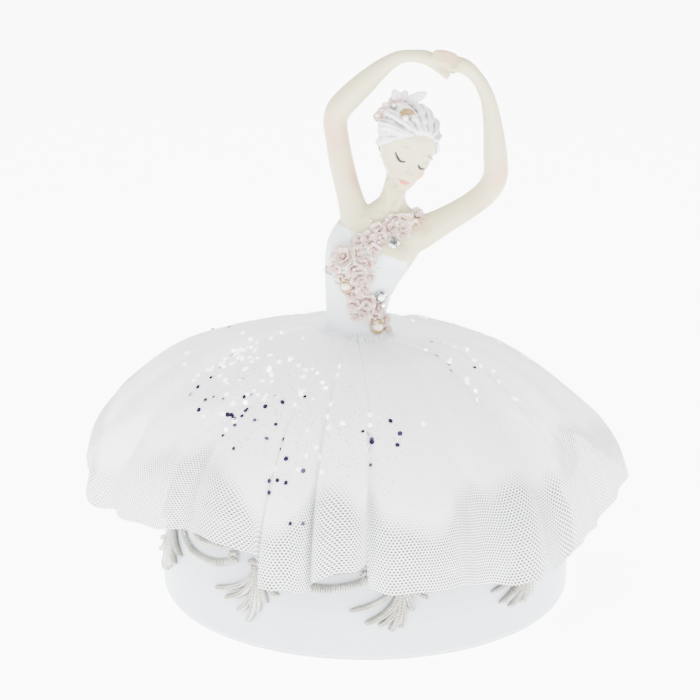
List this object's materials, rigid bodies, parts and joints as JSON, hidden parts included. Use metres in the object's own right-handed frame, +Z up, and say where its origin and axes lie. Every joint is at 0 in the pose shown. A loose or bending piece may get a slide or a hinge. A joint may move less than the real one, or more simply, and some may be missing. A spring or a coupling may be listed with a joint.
{
  "type": "ballerina jewellery box",
  "caption": "Round bell-shaped musical jewellery box with a lift-off lid that carries a half figure of a dancer in a layered tulle skirt, arms raised.",
  "frame": {"origin": "centre of the box's foot, in the plane it stands on", "axes": "+Z up along the box's axis; -Y towards the viewer, the way the dancer's chest faces; +X to the viewer's right"},
  "size_m": [0.216, 0.2106, 0.2213],
  "materials": {
    "resin": "satin",
    "cover": "fine matt",
    "steel": "satin",
    "felt": "felt",
    "velvet": "short velvet pile",
    "relief": "champagne glitter",
    "zinc": "die-cast, bare",
    "brass": "turned",
    "spring_steel": "ground",
    "nylon": "natural",
    "tulle": "sheer net",
    "tulle_inner": "sheer net",
    "satin": "satin",
    "porcelain": "satin cast resin, tinted",
    "hair": "painted resin, silver in the grooves",
    "petal": "painted resin",
    "rhinestone": "faceted, mirror backed",
    "gold": "gilt rim with a pearl",
    "ribbon": "satin"
  },
  "bodies": {
    "base": {"box_base": "resin", "bottom_cover": "cover", "cover_screws": "steel", "foot_felt": "felt", "well_floor_pad": "velvet", "well_wall_lining": "velvet", "upper_garland": "relief", "lower_garland": "relief", "tassels": "relief", "bedplate": "zinc", "movement_screws": "steel", "spring_barrel": "brass", "mainspring": "spring_steel", "comb": "spring_steel", "comb_screws": "steel", "cylinder_posts": "zinc", "governor_frame": "zinc"},
    "lid": {"lid_bell": "resin", "lid_lining": "velvet", "lace_motifs": "relief", "skirt_underlayer": "tulle_inner", "skirt_outer": "tulle", "waist_ribbon": "satin", "figure_screw": "steel", "figure_torso": "porcelain", "figure_head": "porcelain", "figure_hair": "hair", "right_arm": "porcelain", "left_arm": "porcelain", "sash_flowers_group": "petal", "sash_rhinestones": "rhinestone", "gold_roses": "gold", "hair_flowers": "petal", "hair_ribbon": "ribbon"},
    "winding": {"winding_arbor": "steel", "crown_wheel": "brass", "winding_key": "steel"},
    "cylinder": {"pinned_cylinder": "brass", "cylinder_arbor": "steel", "cylinder_pinion": "brass", "cylinder_wheel": "nylon"},
    "governor": {"governor_arbor": "steel", "governor_pinion": "brass", "worm_wheel": "nylon"},
    "fan": {"governor_worm": "steel", "fan_brake": "nylon"},
    "stop": {"stop_wire": "steel", "stop_button": "nylon"}
  },
  "joints": [
    {"name": "lid_lift", "type": "slide", "parent": "base", "child": "lid", "axis": [0, 0, 1], "range_m": [0, 0.07]},
    {"name": "cylinder_turn", "type": "hinge", "parent": "base", "child": "cylinder", "pos_m": [0, 0, 0.0175], "axis": [1, 0, 0], "continuous": true},
    {"name": "key_wind", "type": "hinge", "parent": "base", "child": "winding", "pos_m": [0, 0, 0], "axis": [0, 0, 1], "continuous": true},
    {"name": "governor_turn", "type": "hinge", "parent": "base", "child": "governor", "pos_m": [0.04, 0.0092, 0.0175], "axis": [1, 0, 0], "continuous": true},
    {"name": "fan_turn", "type": "hinge", "parent": "base", "child": "fan", "pos_m": [0.0421, 0.0156, 0.0175], "axis": [0, 0, 1], "continuous": true},
    {"name": "stop_rise", "type": "slide", "parent": "base", "child": "stop", "axis": [0, 0, 1], "range_m": [0, 0.0028]}
  ],
  "couplings": [
    {"joint": "key_wind", "follows": "cylinder_turn", "ratio": -0.25},
    {"joint": "governor_turn", "follows": "cylinder_turn", "ratio": -3.6},
    {"joint": "fan_turn", "follows": "cylinder_turn", "ratio": 72},
    {"joint": "stop_rise", "follows": "lid_lift", "ratio": 0.04}
  ]
}
